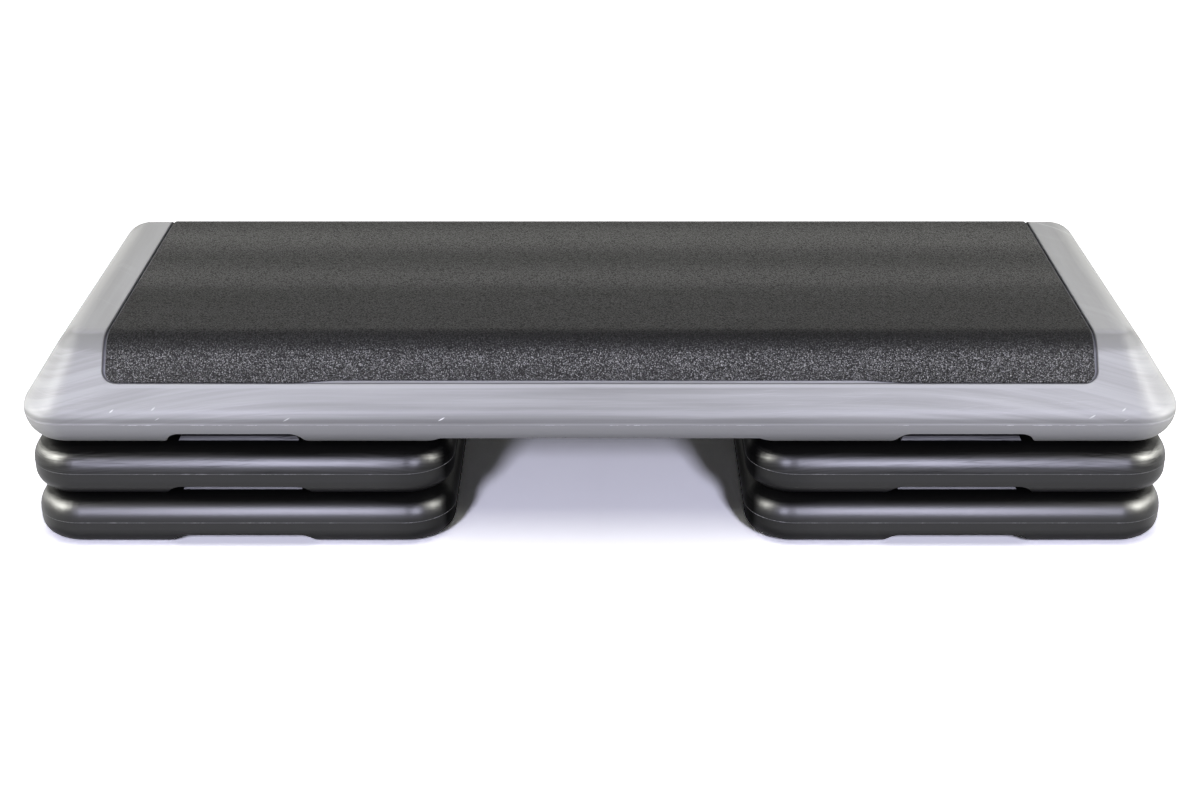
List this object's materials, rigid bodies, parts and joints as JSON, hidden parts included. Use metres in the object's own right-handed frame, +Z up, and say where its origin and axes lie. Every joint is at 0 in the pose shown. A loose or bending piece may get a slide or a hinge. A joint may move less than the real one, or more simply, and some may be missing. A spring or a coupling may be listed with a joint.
{
  "type": "aerobic step platform",
  "caption": "Low exercise step: a hollow moulded deck with sloping sides and an inlaid pebbled rubber tread, standing on stacks of square nesting risers with rubber feet.",
  "frame": {"origin": "on the floor under the middle of the deck", "axes": "+X along the deck, -Y towards the front of the picture, +Z up"},
  "size_m": [1.092, 0.414, 0.206],
  "materials": {
    "deck_plastic": "satin moulded polyethylene with faint flow streaks",
    "riser_plastic": "satin black moulded polyethylene with faint flow streaks",
    "tread_rubber": "pebbled matt rubber",
    "foot_rubber": "smooth matt rubber"
  },
  "bodies": {
    "lower_risers": {"left_lower_riser": "riser_plastic", "left_lower_riser_front_inner_foot": "foot_rubber", "left_lower_riser_front_outer_foot": "foot_rubber", "left_lower_riser_rear_inner_foot": "foot_rubber", "left_lower_riser_rear_outer_foot": "foot_rubber", "right_lower_riser": "riser_plastic", "right_lower_riser_front_inner_foot": "foot_rubber", "right_lower_riser_front_outer_foot": "foot_rubber", "right_lower_riser_rear_inner_foot": "foot_rubber", "right_lower_riser_rear_outer_foot": "foot_rubber"},
    "left_upper_riser": {"left_upper_riser": "riser_plastic", "left_upper_riser_front_inner_foot": "foot_rubber", "left_upper_riser_front_outer_foot": "foot_rubber", "left_upper_riser_rear_inner_foot": "foot_rubber", "left_upper_riser_rear_outer_foot": "foot_rubber"},
    "right_upper_riser": {"right_upper_riser": "riser_plastic", "right_upper_riser_front_inner_foot": "foot_rubber", "right_upper_riser_front_outer_foot": "foot_rubber", "right_upper_riser_rear_inner_foot": "foot_rubber", "right_upper_riser_rear_outer_foot": "foot_rubber"},
    "deck": {"deck_shell": "deck_plastic", "left_deck_front_inner_foot": "foot_rubber", "left_deck_front_outer_foot": "foot_rubber", "left_deck_rear_inner_foot": "foot_rubber", "left_deck_rear_outer_foot": "foot_rubber", "right_deck_front_inner_foot": "foot_rubber", "right_deck_front_outer_foot": "foot_rubber", "right_deck_rear_inner_foot": "foot_rubber", "right_deck_rear_outer_foot": "foot_rubber", "tread_mat": "tread_rubber"}
  },
  "joints": [
    {"name": "left_upper_riser_lift", "type": "slide", "parent": "lower_risers", "child": "left_upper_riser", "axis": [0, 0, 1], "range_m": [0, 0.12]},
    {"name": "right_upper_riser_lift", "type": "slide", "parent": "lower_risers", "child": "right_upper_riser", "axis": [0, 0, 1], "range_m": [0, 0.12]},
    {"name": "deck_lift", "type": "slide", "parent": "left_upper_riser", "child": "deck", "axis": [0, 0, 1], "range_m": [0, 0.12]}
  ],
  "couplings": [
    {"joint": "right_upper_riser_lift", "follows": "left_upper_riser_lift", "ratio": 1}
  ]
}
